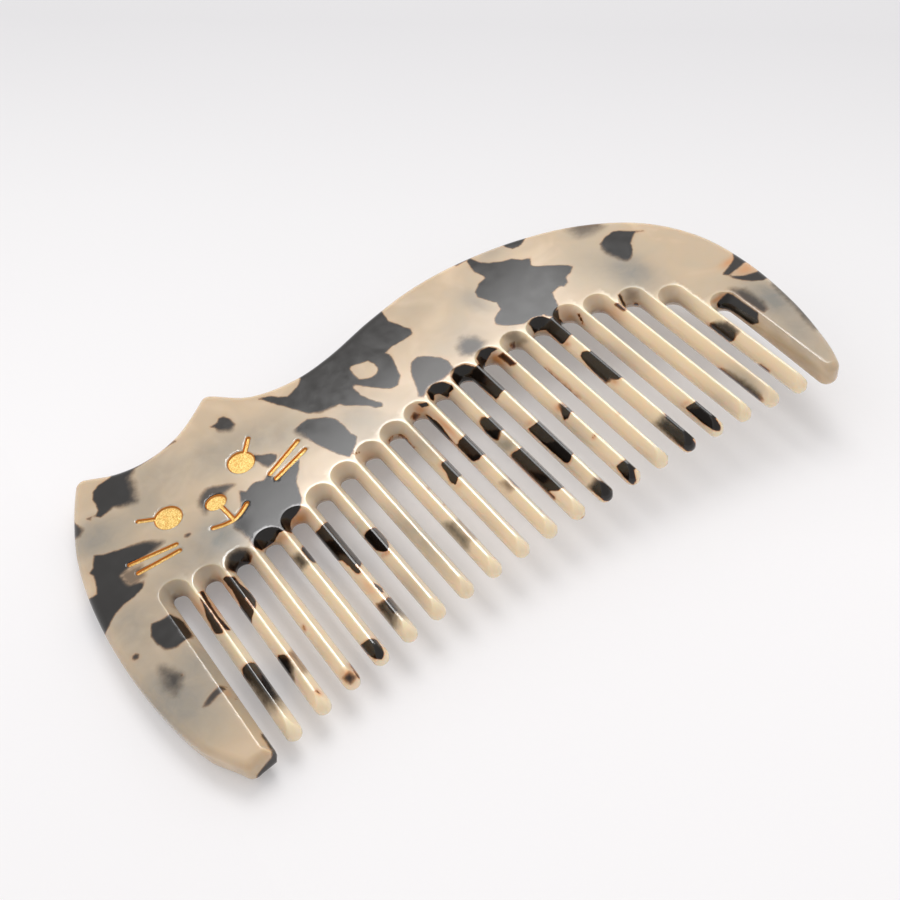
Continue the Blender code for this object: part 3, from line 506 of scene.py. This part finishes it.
def comb_rim():
    """Points, flank moves and edge moves of the whole rim, clockwise, as arrays."""
    rim = Rim()
    add_corner(rim, HEAD_TIP_INNER, slot_side=True)
    add_corner(rim, HEAD_TIP_OUTER)
    add_stretch(rim, HEAD_TIP_OUTER, HEAD_SIDE, LEFT_EAR)
    add_corner(rim, LEFT_EAR)
    add_stretch(rim, LEFT_EAR, BETWEEN_EARS, RIGHT_EAR)
    add_corner(rim, RIGHT_EAR)
    add_stretch(rim, RIGHT_EAR, SPINE, TAIL_TIP)
    add_corner(rim, TAIL_TIP)
    for number in range(SLOTS, 0, -1):
        add_slot_end(rim, number)
        if number > 1:
            add_tooth_tip(rim, number - 1)
    rows = np.hstack([np.array(rim.points), np.array(rim.flanks), np.array(rim.edges)])
    fine = []
    for row, following in zip(rows, np.roll(rows, -1, axis=0)):
        parts = max(1, math.ceil(np.linalg.norm(following[:2] - row[:2]) / STRAIGHT_STEP))
        for part in range(parts):
            fine.append(row + (following - row) * part / parts)
    fine = np.array(fine)
    return fine[:, 0:2], fine[:, 2:4], fine[:, 4:6]


def section_levels(angles, upward):
    """(height, flank share, edge share) from half the thickness to one of the faces."""
    middle = THICKNESS / 2
    flat = TOOTH_SIDE_FLAT / 2
    sign = 1 if upward else -1
    levels = [(middle + sign * flat, 0.0, 0.0)]
    for angle in angles:
        turn = math.radians(angle)
        height = middle - EDGE_RADIUS * (1 - math.sin(turn))
        climb = (height - flat) / (middle - flat)
        near_rim = max(0.0, (climb - RIM_START) / (1 - RIM_START))
        curved = 1 - math.sqrt(max(0.0, 1 - near_rim ** 2))
        flank = (1 - FLANK_ROUNDING) * climb + FLANK_ROUNDING * curved
        levels.append((middle + sign * height, flank, 1 - math.cos(turn)))
    return levels


# ---------------------------------------------------------------- marks

def distance_to_line(points, route):
    """Distance of each point to a bent line."""
    nearest = np.full(len(points), np.inf)
    for start, end in zip(route, route[1:]):
        start, along = np.array(start), np.array(end) - np.array(start)
        share = np.clip((points - start) @ along / (along @ along), 0, 1)
        nearest = np.minimum(nearest, np.hypot(*(points - start - share[:, None] * along).T))
    return nearest


def stroke_route(route):
    """A stroke's own points, or a smooth curve through them if there are more than two."""
    points = [Vector(point) for point in route]
    if len(points) == 2:
        return points
    first = (points[1] - points[0]).normalized()
    last = (points[-1] - points[-2]).normalized()
    return smooth_line(points, chord_headings(points, first, last), STROKE_STEPS)


def mark_distance(points, shapes):
    """Distance of each point outside a mark's edge, negative within the mark."""
    nearest = np.full(len(points), np.inf)
    for kind, place, *size in shapes:
        if kind == "disc":
            radii = np.array(size[0])
            ratio = np.hypot(*((points - np.array(place)) / radii).T)
            nearest = np.minimum(nearest, (ratio - 1) * radii.mean())
        else:
            nearest = np.minimum(nearest, distance_to_line(points, stroke_route(place)) - STROKE)
    return nearest


def mark_outlines(shapes, grow):
    """Outline loops of a mark's discs and strokes, widened all round by grow."""
    loops = []
    for kind, place, *size in shapes:
        if kind == "disc":
            radii = Vector(size[0]) + Vector((grow, grow))
            turns = (direction(360 * step / DISC_STEPS) for step in range(DISC_STEPS))
            loops.append([Vector(place) + radii * turn for turn in turns])
            continue
        route = stroke_route(place)
        loop = []
        for way in (route, route[::-1]):
            for index, point in enumerate(way):
                before, after = way[max(index - 1, 0)], way[min(index + 1, len(way) - 1)]
                heading = (after - before).angle_signed(Vector((1, 0)))
                side = direction(math.degrees(heading) - 90)
                if index < len(way) - 1:
                    loop.append(point + side * (STROKE + grow))
                else:
                    for turn in range(0, 181, STROKE_END_DEGREES):
                        loop.append(point + direction(math.degrees(heading) - 90 + turn)
                                    * (STROKE + grow))
        loops.append(loop)
    return loops


# ---------------------------------------------------------------- meshes

def rows_inside(loop, step, clearance):
    """Points of a triangular grid that lie inside a loop and clear of its points."""
    near = KDTree(len(loop))
    for index, point in enumerate(loop):
        near.insert((point[0], point[1], 0), index)
    near.balance()
    ends = np.roll(loop, -1, axis=0)
    row_height = step * math.sqrt(3) / 2
    inside = []
    low, high = loop.min(axis=0), loop.max(axis=0)
    for row in range(1, int((high[1] - low[1]) / row_height) + 1):
        y = low[1] + row * row_height + ROW_SHIFT
        crossing = (loop[:, 1] > y) != (ends[:, 1] > y)
        a, b = loop[crossing], ends[crossing]
        cuts = np.sort(a[:, 0] + (y - a[:, 1]) / (b[:, 1] - a[:, 1]) * (b[:, 0] - a[:, 0]))
        offset = (row % 2) * step / 2
        for left, right in zip(cuts[::2], cuts[1::2]):
            for column in range(math.ceil((left - low[0] - offset) / step),
                                math.floor((right - low[0] - offset) / step) + 1):
                x = low[0] + offset + column * step
                if near.find((x, y, 0))[2] > clearance:
                    inside.append((x, y))
    return np.array(inside)


def triangulate(loop, inner, contours):
    """Triangles that fill a loop, through inner points and along the contours."""
    verts = [Vector(point) for point in loop] + [Vector(point) for point in inner]
    edges = []
    for contour in contours:
        first = len(verts)
        verts.extend(contour)
        count = len(contour)
        edges.extend((first + index, first + (index + 1) % count) for index in range(count))
    face = list(range(len(loop)))
    points, _, faces, origins, _, _ = delaunay_2d_cdt(verts, edges, [face], 1, MERGE_DISTANCE)
    return np.array([tuple(point) for point in points]), faces, origins


def new_piece(name, verts, faces, origin, material):
    """Smooth-shaded object from drawing coordinates in millimetres."""
    mesh = bpy.data.meshes.new(name)
    moved = (np.asarray(verts) - (origin[0], origin[1], 0)) * MM
    mesh.from_pydata(moved.tolist(), [], faces)
    mesh.update()
    mesh.shade_smooth()
    mesh.materials.append(material)
    item = bpy.data.objects.new(name, mesh)
    bpy.context.scene.collection.objects.link(item)
    return item


def depth_at(away, shape):
    """Depth below the face at a distance from a mark's edge."""
    places, depths = zip(*shape[::-1])
    return np.interp(away, places, depths)


def add_cap(verts, faces, loop, first, height, inner, contours, marks, upward):
    """Fills one face of the sheet; the loop's own vertices start at index first."""
    turned = loop[::-1]
    points, triangles, origins = triangulate(turned, inner, contours)
    drop = np.zeros(len(points))
    if marks:
        away = np.min([mark_distance(points, shapes) for shapes in marks], axis=0)
        drop = depth_at(away, RECESS_SHAPE)
    number = {}
    for index, made_from in enumerate(origins):
        on_loop = [old for old in made_from if old < len(loop)]
        if on_loop:
            number[index] = first + len(loop) - 1 - on_loop[0]
        else:
            number[index] = len(verts)
            verts.append((points[index][0], points[index][1], height - drop[index]))
    for triangle in triangles:
        corners = [number[index] for index in triangle]
        faces.append(corners if upward else corners[::-1])


def sheet_mesh():
    """Vertices and faces of the whole sheet."""
    points, flanks, edges = comb_rim()
    levels = (section_levels(LOWER_ANGLES, False)[::-1] + section_levels(UPPER_ANGLES, True))
    count = len(points)
    verts, faces, loops = [], [], []
    for height, flank, edge in levels:
        loop = points + flanks * flank + edges * edge
        loops.append(loop)
        verts.extend((x, y, height) for x, y in loop)
    for level in range(len(levels) - 1):
        below, above = level * count, (level + 1) * count
        for index in range(count):
            following = (index + 1) % count
            faces.append([below + following, below + index, above + index, above + following])
    add_cap(verts, faces, loops[0], 0, 0.0, rows_inside(loops[0], BACK_STEP, BACK_CLEARANCE),
            [], [], False)
    inner = rows_inside(loops[-1], FACE_STEP, FACE_CLEARANCE)
    clear = np.min([np.abs(mark_distance(inner, shapes)) for shapes in MARKS.values()], axis=0)
    inner = inner[clear > MARK_CLEARANCE]
    contours = []
    for shapes in MARKS.values():
        for grow, _ in RECESS_SHAPE:
            contours.extend(mark_outlines(shapes, grow))
    add_cap(verts, faces, loops[-1], (len(levels) - 1) * count, THICKNESS, inner, contours,
            list(MARKS.values()), True)
    middle = (points.min(axis=0) + points.max(axis=0)) / 2
    return np.array(verts), faces, middle


def foil_mesh(shapes):
    """Vertices and faces of one foil inlay, a thin closed body with a rippled face."""
    contours = []
    for grow, _ in FOIL_SHAPE:
        contours.extend(mark_outlines(shapes, grow))
    brim, floor = FOIL_SHAPE[0][0], FOIL_SHAPE[-1][0]
    corners = np.array([tuple(point) for contour in contours for point in contour])
    margin = 0.2
    low, high = corners.min(axis=0) - margin, corners.max(axis=0) + margin
    frame_loop = np.array([(low[0], low[1]), (high[0], low[1]), (high[0], high[1]),
                           (low[0], high[1])])
    grid = np.array([(x, y) for x in np.arange(low[0] + margin / 2, high[0], FOIL_STEP)
                     for y in np.arange(low[1] + margin / 2, high[1], FOIL_STEP)])
    grid = grid[mark_distance(grid, shapes) < floor - FOIL_CLEARANCE]
    points, triangles, _ = triangulate(frame_loop, grid, contours)
    middles = points[np.array(triangles)].mean(axis=1)
    kept = [tuple(triangle) for triangle, away in zip(triangles, mark_distance(middles, shapes))
            if away < brim]
    used = sorted({index for triangle in kept for index in triangle})
    place = {old: new for new, old in enumerate(used)}
    deep = depth_at(mark_distance(points, shapes), FOIL_SHAPE)
    verts = []
    for old in used:
        x, y = points[old]
        ripple = sum(height * noise.noise((x * often, y * often, layer))
                     for height, often, layer in FOIL_RIPPLES)
        inside_rim = min(1.0, deep[old] / FOIL_FULL_RIPPLE_DEPTH)
        verts.append((x, y, THICKNESS - deep[old] + ripple * inside_rim))
    verts.extend([(x, y, z - FOIL_THICKNESS) for x, y, z in verts])
    upper = [[place[index] for index in triangle] for triangle in kept]
    lower = [[index + len(used) for index in face[::-1]] for face in upper]
    sides = {}
    for face in upper:
        for a, b in zip(face, face[1:] + face[:1]):
            if (b, a) in sides:
                del sides[(b, a)]
            else:
                sides[(a, b)] = True
    walls = [[b, a, a + len(used), b + len(used)] for a, b in sides]
    return np.array(verts), upper + lower + walls


# ---------------------------------------------------------------- marbling

def outline_depth(points, outline):
    """How far each point lies inside an outline, and the softness of its nearest edge."""
    corners = np.array([corner[:2] for corner in outline], float)
    softness = np.array([corner[2] if len(corner) > 2 else CRISP for corner in outline])
    best = np.full(len(points), np.inf)
    soft = np.zeros(len(points))
    inside = np.zeros(len(points), bool)
    for index in range(len(corners)):
        start, end = corners[index - 1], corners[index]
        along = end - start
        share = np.clip((points - start) @ along / (along @ along), 0, 1)
        away = np.hypot(*(points - start - share[:, None] * along).T)
        closer = away < best
        best = np.where(closer, away, best)
        blend = softness[index - 1] + (softness[index] - softness[index - 1]) * share
        soft = np.where(closer, blend, soft)
        if start[1] != end[1]:
            crosses = (start[1] > points[:, 1]) != (end[1] > points[:, 1])
            cut = start[0] + (points[:, 1] - start[1]) * along[0] / along[1]
            inside ^= crosses & (points[:, 0] < cut)
    return np.where(inside, best, -best), soft


def block_outline(left, right, top, bottom, softness=CRISP):
    """Outline of a straight-sided flake."""
    return [(left, top, softness), (right, top, softness), (right, bottom, softness),
            (left, bottom, softness)]


def ridge_outline(number, top, bottom):
    """Outline of a flake's part along the ridge of a thin tooth."""
    middle, half_width = tooth_x(number), RIDGE_FLAKE_WIDTH / 2
    return block_outline(middle - half_width, middle + half_width, top, bottom)


def streak_outline(start, end, half_width):
    """Outline of a thin streak between two points."""
    start, end = Vector(start), Vector(end)
    side = (end - start).normalized().orthogonal() * half_width
    return [tuple(start - side), tuple(start + side), tuple(end + side), tuple(end - side)]


def speck_outline(x, y, radius):
    """Outline of a small round speck."""
    turns = (direction(360 * step / SPECK_STEPS) for step in range(SPECK_STEPS))
    return [(x + radius * side, y + radius * up) for side, up in turns]


def patches(points, blobs):
    """Joint strength at each point of soft round patches."""
    rest = np.ones(len(points))
    for x, y, half_width, half_height, strength in blobs:
        far = ((points[:, 0] - x) / half_width) ** 2 + ((points[:, 1] - y) / half_height) ** 2
        rest *= 1 - strength * np.exp(-far)
    return 1 - rest


def below_slot_end(points):
    """How far each point lies towards the tips from the round end of the nearest slot."""
    number = np.clip(np.round((points[:, 0] - tooth_x(0)) / PITCH + 0.5), 1, SLOTS).astype(int)
    return np.array(SLOT_ENDS)[number - 1] - points[:, 1]


def slot_share(points):
    """How far each point is within the toothed part: 0 on the body, 1 along the teeth."""
    end_tooth, above, fade = 0.4, 0.4, 2.0
    between_ends = ((points[:, 0] > tooth_x(end_tooth))
                    & (points[:, 0] < tooth_x(SLOTS - end_tooth)))
    return np.clip((below_slot_end(points) + above) / fade, 0, 1) * between_ends


def slot_end_shade_share(points, below_face):
    """Share of painted shade: 1 low on the walls at the round ends of the slots, 0 on the body
    and along the teeth.
    """
    below_end = below_slot_end(points)
    above, rise = 0.3, 0.5
    length, fade, full_depth = 8.0, 4.0, 3.0
    starts = np.clip((below_end + above) / rise, 0, 1)
    ends = np.clip((length - below_end) / fade, 0, 1)
    return starts * ends * np.clip(below_face / full_depth, 0, 1)


def paint_flakes(item, verts):
    """Stores each vertex's place among the flakes, clouds and glows for the material."""
    below = THICKNESS - verts[:, 2]
    flat = verts[:, :2]
    points = flat + (np.array(LEAN_POINT) - flat) * below[:, None] / LEAN_HEIGHT
    depth = np.full(len(points), NO_FLAKE)
    soft = np.full(len(points), EVEN_SOFTNESS)
    density = np.ones(len(points))
    flakes = list(FLAKES)
    flakes.extend((block_outline(*block), dense) for *block, dense in BLOCKS)
    flakes.extend((ridge_outline(*part), 1.0) for part in RIDGE_FLAKES)
    flakes.extend((streak_outline(*streak), dense) for *streak, dense in STREAKS)
    flakes.extend((speck_outline(*speck), 0.8) for speck in SPECKS)
    for outline, dense in flakes:
        inside, edge = outline_depth(points, outline)
        wins = inside / (edge + EVEN_SOFTNESS) > depth / (soft + EVEN_SOFTNESS)
        depth = np.where(wins, inside, depth)
        soft = np.where(wins, edge, soft)
        density = np.where(wins, dense, density)
    for outline in WINDOWS:
        inside, edge = outline_depth(points, outline)
        cuts = -inside < depth
        depth = np.where(cuts, -inside, depth)
        soft = np.where(cuts, edge, soft)
    # tooth and root also steer painted light and shade: paler teeth for light shining through
    # them, darker walls low at the slot ends
    for name, values in (("flake_depth", depth), ("flake_soft", soft), ("flake_density", density),
                         ("cloud", patches(points, CLOUDS)), ("glow", patches(points, GLOWS)),
                         ("tooth", slot_share(flat)),
                         ("root", slot_end_shade_share(flat, below))):
        item.data.attributes.new(name, "FLOAT", "POINT").data.foreach_set("value", values)


# ---------------------------------------------------------------- materials

class Graph:
    """Short way to write the nodes of a material or world, and to fill its shader.

    An input is a value or another node's output.
    """

    def __init__(self, owner, shader="Principled BSDF"):
        owner.use_nodes = True
        self.owner = owner
        self.nodes = owner.node_tree.nodes
        self.links = owner.node_tree.links
        self.shader = self.nodes[shader]

    def fill(self, node, inputs):
        for key, value in inputs.items():
            socket = node.inputs[key]
            if isinstance(value, bpy.types.NodeSocket):
                self.links.new(value, socket)
            else:
                socket.default_value = value
        return node

    def add(self, kind, inputs, **settings):
        node = self.nodes.new(kind)
        for key, value in settings.items():
            setattr(node, key, value)
        return self.fill(node, inputs)

    def math(self, operation, a, b=0.0, c=0.0, clamp=False):
        node = self.add("ShaderNodeMath", {0: a, 1: b, 2: c}, operation=operation,
                        use_clamp=clamp)
        return node.outputs[0]

    def attribute(self, name):
        return self.add("ShaderNodeAttribute", {}, attribute_name=name).outputs["Fac"]

    def place(self):
        """Position in millimetres."""
        coordinates = self.add("ShaderNodeTexCoord", {})
        scaled = self.add("ShaderNodeVectorMath", {0: coordinates.outputs["Object"],
                                                   "Scale": 1 / MM}, operation="SCALE")
        return scaled.outputs["Vector"]

    def noise(self, place, size, detail=3.0, roughness=0.5, distortion=0.0):
        """Noise from 0 to 1 with features of about the given size."""
        node = self.add("ShaderNodeTexNoise", {"Vector": place, "Scale": 1 / size,
                                               "Detail": detail, "Roughness": roughness,
                                               "Distortion": distortion})
        return node.outputs["Fac"]

    def spread(self, value, low, high, to_low=0.0, to_high=1.0, smooth=False):
        """Maps low..high to to_low..to_high and holds the ends."""
        node = self.add("ShaderNodeMapRange", {"Value": value, "From Min": low,
                                               "From Max": high, "To Min": to_low,
                                               "To Max": to_high},
                        interpolation_type="SMOOTHSTEP" if smooth else "LINEAR")
        return node.outputs["Result"]

    def ramp(self, value, stops):
        """Colour ramp with (position, (r, g, b)) stops."""
        node = self.add("ShaderNodeValToRGB", {"Fac": value})
        elements = node.color_ramp.elements
        while len(elements) < len(stops):
            elements.new(0.5)
        for element, (position, colour) in zip(elements, stops):
            element.position = position
            element.color = (*colour, 1.0)
        return node.outputs["Color"]

    def mix(self, share, a, b, blend="MIX"):
        """Mixes two colours."""
        node = self.add("ShaderNodeMix", {}, data_type="RGBA", blend_type=blend)
        for key, value in ((0, share), (6, a), (7, b)):
            if isinstance(value, bpy.types.NodeSocket):
                self.links.new(value, node.inputs[key])
            elif key == 0:
                node.inputs[key].default_value = value
            else:
                node.inputs[key].default_value = (*value, 1.0)
        return node.outputs[2]

    def bump(self, height, distance, strength=1.0):
        """Bump of the given height in millimetres."""
        node = self.add("ShaderNodeBump", {"Height": height, "Distance": distance * MM,
                                           "Strength": strength})
        return node.outputs["Normal"]


def acetate_material():
    """Cream acetate, cloudy and slightly see-through, with dark flakes."""
    graph = Graph(bpy.data.materials.new("marbled_acetate"))
    place = graph.place()
    depth = graph.attribute("flake_depth")
    soft = graph.attribute("flake_soft")
    density = graph.attribute("flake_density")
    cloud = graph.attribute("cloud")
    glow = graph.attribute("glow")
    tooth = graph.attribute("tooth")
    root = graph.attribute("root")
    soft = graph.math("MAXIMUM", soft, graph.spread(tooth, 0.0, 1.0, 0.24, 0.12))

    # Slightly broken edge of the flakes
    ragged = graph.math("SUBTRACT", graph.noise(place, 1.1, 4.0, 0.6), 0.5)
    swing = graph.math("MULTIPLY_ADD", soft, 0.7, 0.22)
    within = graph.math("ADD", depth, graph.math("MULTIPLY", ragged, swing))
    flake = graph.math("MULTIPLY_ADD", graph.math("DIVIDE", within, soft), 0.5, 0.5, clamp=True)
    flake = graph.spread(flake, 0.0, 1.0, smooth=True)
    flake = graph.math("MULTIPLY", flake, density)

    # Cream with broad slow changes and milky grey clouds; paler teeth and darker slot ends are
    # painted light and shade
    slow = graph.noise(place, 9.0, 2.0, 0.5, 0.8)
    base = graph.ramp(slow, [(0.34, (0.53, 0.425, 0.30)), (0.50, (0.56, 0.435, 0.30)),
                             (0.66, (0.635, 0.50, 0.35))])
    # Painted light: the teeth are painted paler to stand in for the light that shines through the
    # thin acetate
    base = graph.mix(tooth, base, (0.79, 0.675, 0.505))
    # Painted shade: darker brown low on the walls at the round ends of the slots, deepening below
    # the face
    base = graph.mix(root, base, (0.50, 0.385, 0.285))
    wisps = graph.noise(place, 3.0, 3.0, 0.55, 1.0)
    veil = graph.math("MULTIPLY", cloud, graph.spread(wisps, 0.3, 0.7, 0.85, 1.15), clamp=True)
    base = graph.mix(veil, base, (0.250, 0.236, 0.207))

    # Amber that bleeds out of a crisp edge: faint on the face, strong along the teeth
    reach = graph.spread(graph.noise(place, 3.0, 2.0), 0.35, 0.65, 0.2, 0.9)
    bleed = graph.math("DIVIDE", graph.math("ADD", within, reach), reach, clamp=True)
    crisp = graph.math("MULTIPLY", graph.spread(soft, 0.3, 0.9, 1.0, 0.0),
                       graph.spread(tooth, 0.0, 1.0, 0.35, 1.0))
    bleed = graph.math("MULTIPLY", graph.math("POWER", bleed, 2.0), crisp)
    bleed = graph.math("MULTIPLY", bleed, 0.7)
    tinted = graph.mix(graph.math("MAXIMUM", bleed, glow), base, (0.60, 0.27, 0.09))
    colour = graph.ramp(flake, [(0.0, (1.0, 1.0, 1.0)), (0.18, (0.60, 0.42, 0.28)),
                                (0.45, (0.18, 0.11, 0.075)), (0.8, (0.020, 0.016, 0.015)),
                                (1.0, (0.010, 0.010, 0.011))])
    grey = graph.ramp(flake, [(0.0, (1.0, 1.0, 1.0)), (0.35, (0.50, 0.47, 0.44)),
                              (0.7, (0.13, 0.12, 0.115)), (1.0, (0.012, 0.012, 0.013))])
    shade = graph.mix(crisp, grey, colour)
    final = graph.mix(1.0, tinted, shade, "MULTIPLY")

    polish = graph.noise(place, 2.4, 3.0)
    rough = graph.spread(polish, 0.3, 0.7, 0.10, 0.16)
    height = graph.math("ADD", graph.noise(place, 9.0, 2.0),
                        graph.math("MULTIPLY", graph.noise(place, 0.5, 2.0), 0.03))
    graph.fill(graph.shader, {
        "Base Color": final, "Roughness": rough, "IOR": 1.49,
        "Subsurface Weight": graph.spread(flake, 0.0, 0.6, 1.0, 0.0),
        "Subsurface Radius": (1.0, 0.75, 0.5), "Subsurface Scale": 2.0 * MM,
        "Normal": graph.bump(height, 0.012)})
    return graph.owner


def foil_material():
    """Hot-stamped gold foil: bright, grainy, darker along its edge as painted shade where it runs
    down into the recess.
    """
    graph = Graph(bpy.data.materials.new("gold_leaf"))
    place = graph.place()
    grain = graph.noise(place, 0.22, 4.0, 0.65)
    blotch = graph.noise(place, 0.8, 2.0)
    colour = graph.ramp(grain, [(0.30, (0.36, 0.19, 0.045)), (0.50, (0.58, 0.38, 0.12)),
                                (0.70, (0.80, 0.60, 0.26))])
    wear_and_edge_shade = graph.spread(blotch, 0.60, 0.78, 0.0, 0.5)
    # Painted shade: the rim attribute darkens the foil along its edge, where it runs down into
    # the recess; the blotches are wear
    wear_and_edge_shade = graph.math("MAXIMUM", wear_and_edge_shade, graph.attribute("rim"))
    colour = graph.mix(wear_and_edge_shade, colour, (0.56, 0.20, 0.04))
    rough = graph.spread(grain, 0.3, 0.7, 0.42, 0.26)
    graph.fill(graph.shader, {"Base Color": colour, "Metallic": 1.0, "Roughness": rough,
                              "Normal": graph.bump(grain, 0.05)})
    return graph.owner


def table_material():
    """Matt table top, faintly lit from within, with painted shade that makes it slightly greyer
    towards its far side.
    """
    graph = Graph(bpy.data.materials.new("table_top"))
    place = graph.place()
    across = graph.add("ShaderNodeVectorMath", {0: place, 1: (0.7, 0.71, 0.0)},
                       operation="DOT_PRODUCT").outputs["Value"]
    # Painted shade: the colour turns greyer towards the far side, where less light falls; the
    # noise is the table's own tone
    far = graph.spread(across, -70.0, 150.0)
    tone_and_far_shade = graph.math("MULTIPLY_ADD", graph.noise(place, 90.0, 2.0), 0.06, far)
    colour = graph.ramp(tone_and_far_shade, [(0.30, (0.675, 0.665, 0.672)), (0.62, (0.604, 0.598, 0.605)),
                               (0.95, (0.505, 0.50, 0.51))])
    graph.fill(graph.shader, {"Base Color": colour, "Roughness": 0.8,
                              "Emission Color": colour, "Emission Strength": 0.3,
                              "Specular IOR Level": 0.2,
                              "Normal": graph.bump(graph.noise(place, 0.6, 2.0), 0.01)})
    return graph.owner


# ---------------------------------------------------------------- stage

def add_table(origin):
    """Wide table that touches the head and falls gently away under the tail."""
    slope_end, reach = 260.0, 3000.0
    run = slope_end - TABLE_TOUCH_X
    profile = [(-reach, 0.0), (TABLE_TOUCH_X, 0.0), (slope_end, run), (reach, run)]
    verts = [((x - origin[0]) * MM, y * MM, (-TABLE_GAP - TABLE_FALL * fallen) * MM)
             for y in (-reach, reach) for x, fallen in profile]
    count = len(profile)
    faces = [(index, index + 1, index + 1 + count, index + count) for index in range(count - 1)]
    mesh = bpy.data.meshes.new("table")
    mesh.from_pydata(verts, [], faces)
    mesh.materials.append(table_material())
    table = bpy.data.objects.new("table", mesh)
    bpy.context.scene.collection.objects.link(table)


def add_area_light(name, place, width, depth, radiance):
    """Flat light that faces down; its place and sizes are multiples of LAMP_HEIGHT."""
    light = bpy.data.lights.new(name, "AREA")
    light.shape = "RECTANGLE"
    light.size = width * LAMP_HEIGHT
    light.size_y = depth * LAMP_HEIGHT
    light.energy = radiance * math.pi * light.size * light.size_y
    lamp = bpy.data.objects.new(name, light)
    lamp.location = (place[0] * LAMP_HEIGHT, place[1] * LAMP_HEIGHT, LAMP_HEIGHT)
    bpy.context.scene.collection.objects.link(lamp)
    return lamp


def add_lamps(sheet):
    """Soft light above the comb and a strip lamp that draws the bright lines on the teeth."""
    softbox = add_area_light("softbox", (0.45, 0.52), width=0.58, depth=0.76, radiance=4.4)
    softbox.rotation_euler.z = math.radians(10)
    strip = add_area_light("strip", (0.23, 0.6), width=0.36, depth=0.3, radiance=18.0)
    strip.visible_diffuse = False
    lit = bpy.data.collections.new("lit_by_strip")
    lit.objects.link(sheet)
    strip.light_linking.receiver_collection = lit


def add_room():
    """Dim room with a pale far wall behind the comb."""
    world = bpy.data.worlds.new("room")
    bpy.context.scene.world = world
    graph = Graph(world, "Background")
    around = graph.add("ShaderNodeTexCoord", {}).outputs["Generated"]
    parts = graph.add("ShaderNodeSeparateXYZ", {0: around})
    side = graph.spread(parts.outputs["Y"], -0.4, 0.5, 0.66, 1.1, smooth=True)
    near_floor = graph.spread(parts.outputs["Z"], 0.08, 0.2, 0.8, 0.0, smooth=True)
    graph.fill(graph.shader, {"Color": (1.0, 0.99, 0.985, 1.0),
                              "Strength": graph.math("MAXIMUM", side, near_floor)})


def add_camera(origin):
    """Camera above the head's end tooth, looking towards the spine and the tail."""
    camera_data = bpy.data.cameras.new("camera")
    camera_data.lens = 50
    camera_data.sensor_width = 36
    camera_data.clip_start = 0.01
    camera = bpy.data.objects.new("camera", camera_data)
    right = Vector(CAMERA_RIGHT).normalized()
    ahead = Vector(CAMERA_AHEAD)
    ahead = (ahead - right * ahead.dot(right)).normalized()
    turn = Matrix((right, right.cross(ahead), -ahead)).transposed().to_4x4()
    place = (Vector(CAMERA_PLACE) - Vector((*origin, 0.0))) * MM
    camera.matrix_world = Matrix.Translation(place) @ turn
    bpy.context.scene.collection.objects.link(camera)
    bpy.context.scene.camera = camera


def main():
    verts, faces, origin = sheet_mesh()
    sheet = new_piece("comb_sheet", verts, faces, origin, acetate_material())
    paint_flakes(sheet, verts)
    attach(sheet, "root")
    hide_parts("comb_body")
    foil = foil_material()
    for node, shapes in MARKS.items():
        verts, faces = foil_mesh(shapes)
        inlay = new_piece(f"{node}_foil", verts, faces, origin, foil)
        # 1 at a foil's edge, fading to 0 FOIL_RIM inside it: where the foil material paints shade
        from_rim = -mark_distance(verts[:, :2], shapes)
        rim = np.clip(1 - from_rim / FOIL_RIM, 0, 1)
        inlay.data.attributes.new("rim", "FLOAT", "POINT").data.foreach_set("value", rim)
        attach(inlay, "root")
        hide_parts(node)
    add_table(origin)
    add_lamps(sheet)
    add_room()
    add_camera(origin)
    bpy.context.scene.view_settings.view_transform = "Standard"


main()
